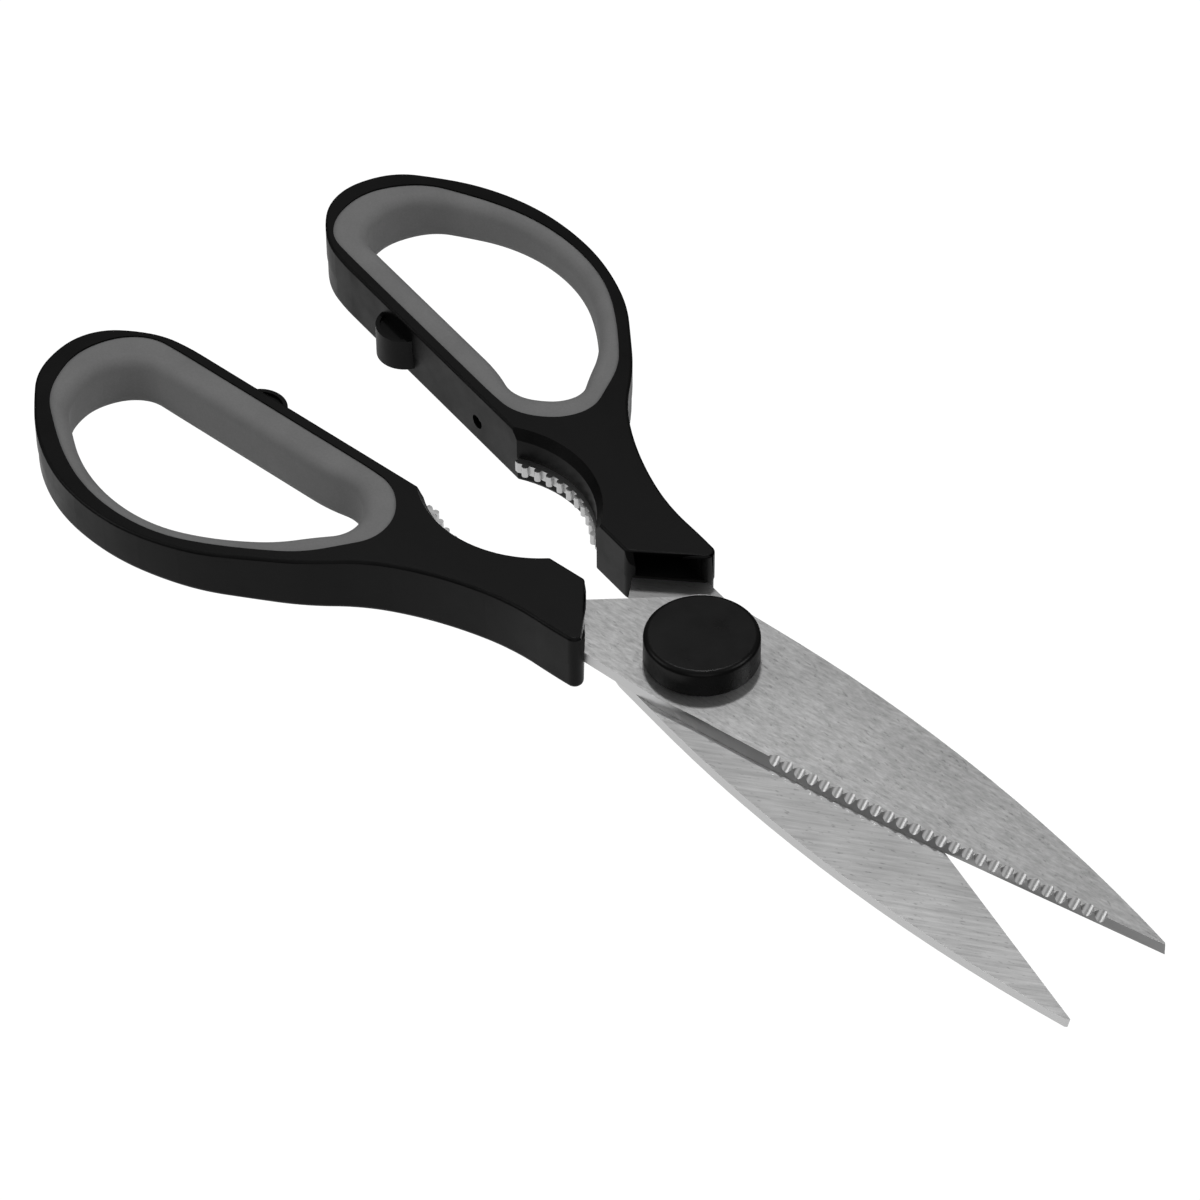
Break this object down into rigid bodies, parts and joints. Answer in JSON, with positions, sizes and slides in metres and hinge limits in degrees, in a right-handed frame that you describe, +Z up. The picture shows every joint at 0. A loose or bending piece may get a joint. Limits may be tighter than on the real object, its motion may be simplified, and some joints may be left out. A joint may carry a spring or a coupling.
{
  "type": "kitchen shears",
  "caption": "Kitchen shears with a serrated upper blade, plain lower blade, capped pivot, nutcracker jaw and soft-lined finger loops.",
  "frame": {"origin": "on the pivot axis, at the underside of the pivot bolt's head, level with the undersides of the handles", "axes": "+X from the pivot to the blade tips along the line that halves the opening, +Z up along the pivot axis out of the cap, +Y to the lower blade's handle"},
  "size_m": [0.2142, 0.1035, 0.012],
  "materials": {
    "blade_steel": "brushed across the blade",
    "pivot_steel": "machined",
    "handle_plastic": "fine moulded grain, low sheen",
    "cap_plastic": "fine moulded grain",
    "grip_rubber": "soft-touch, matt"
  },
  "bodies": {
    "lower_half": {"lower_blade": "blade_steel", "lower_handle": "handle_plastic", "lower_grip_liner": "grip_rubber", "pivot_bolt": "pivot_steel", "thrust_washer": "pivot_steel", "spring_washer": "pivot_steel", "pivot_nut": "pivot_steel", "pivot_cap": "cap_plastic"},
    "upper_half": {"upper_blade": "blade_steel", "upper_handle": "handle_plastic", "upper_grip_liner": "grip_rubber"}
  },
  "joints": [
    {"name": "pivot", "type": "hinge", "parent": "lower_half", "child": "upper_half", "pos_m": [0, 0, 0.00623], "axis": [0, 0, 1], "range_deg": [-13.6, 80]}
  ]
}
